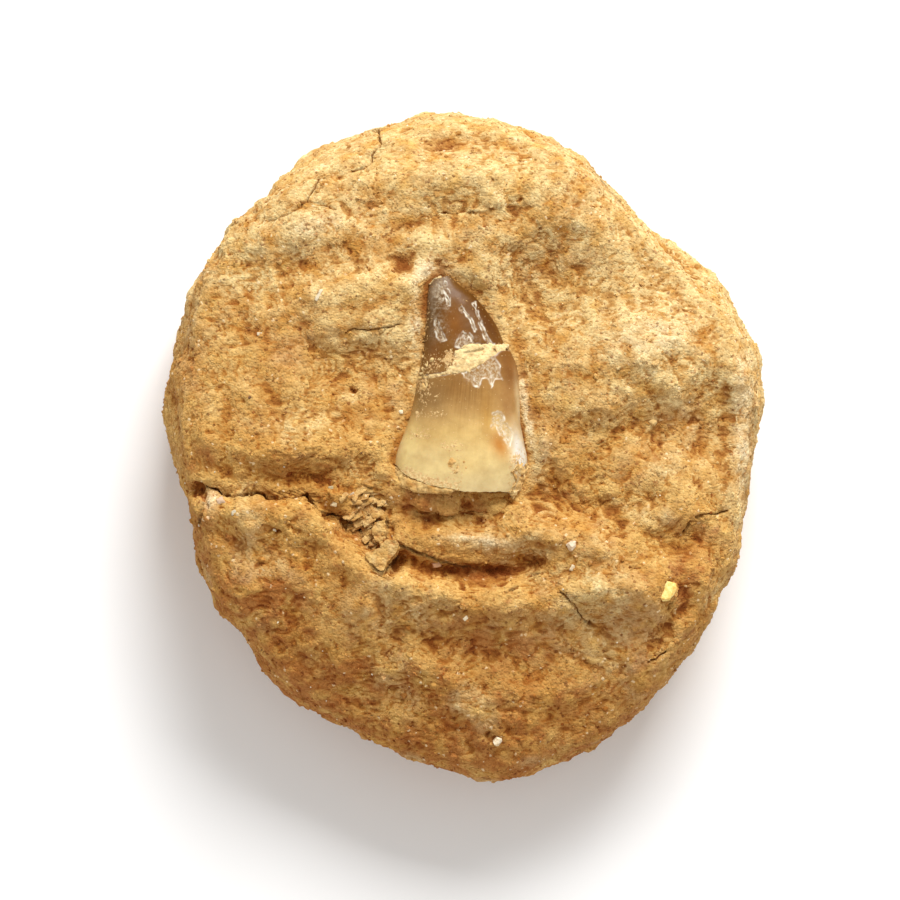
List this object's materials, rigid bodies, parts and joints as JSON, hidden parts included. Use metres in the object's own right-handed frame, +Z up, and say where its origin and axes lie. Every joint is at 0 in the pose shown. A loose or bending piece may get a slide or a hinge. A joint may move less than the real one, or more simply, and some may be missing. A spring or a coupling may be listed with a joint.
{
  "type": "fossil tooth in matrix",
  "caption": "Curved conical reptile tooth, broken across and cemented, lying half exposed in a round block of sandy matrix with a cracked lower ledge.",
  "frame": {"origin": "under the middle of the block, on the surface that its worn flat back rests on", "axes": "+Z up, out of the face that shows the tooth; +Y towards the tooth's tip; +X to the right of the face"},
  "size_m": [0.1024, 0.1144, 0.0371],
  "materials": {
    "sandy_matrix": "rough sandy",
    "cream_enamel": "glossy",
    "smoky_enamel": "glossy",
    "pale_sand": "rough sandy",
    "yellow_chip": "satin",
    "white_chip": "satin",
    "pale_pebble": "satin"
  },
  "bodies": {
    "root": {"matrix_block": "sandy_matrix", "tooth_crown_base": "cream_enamel", "tooth_crown_tip": "smoky_enamel", "break_fill": "pale_sand", "bone_chip_yellow": "yellow_chip", "bone_chip_white": "white_chip", "quartz_pebble": "pale_pebble"}
  },
  "joints": []
}
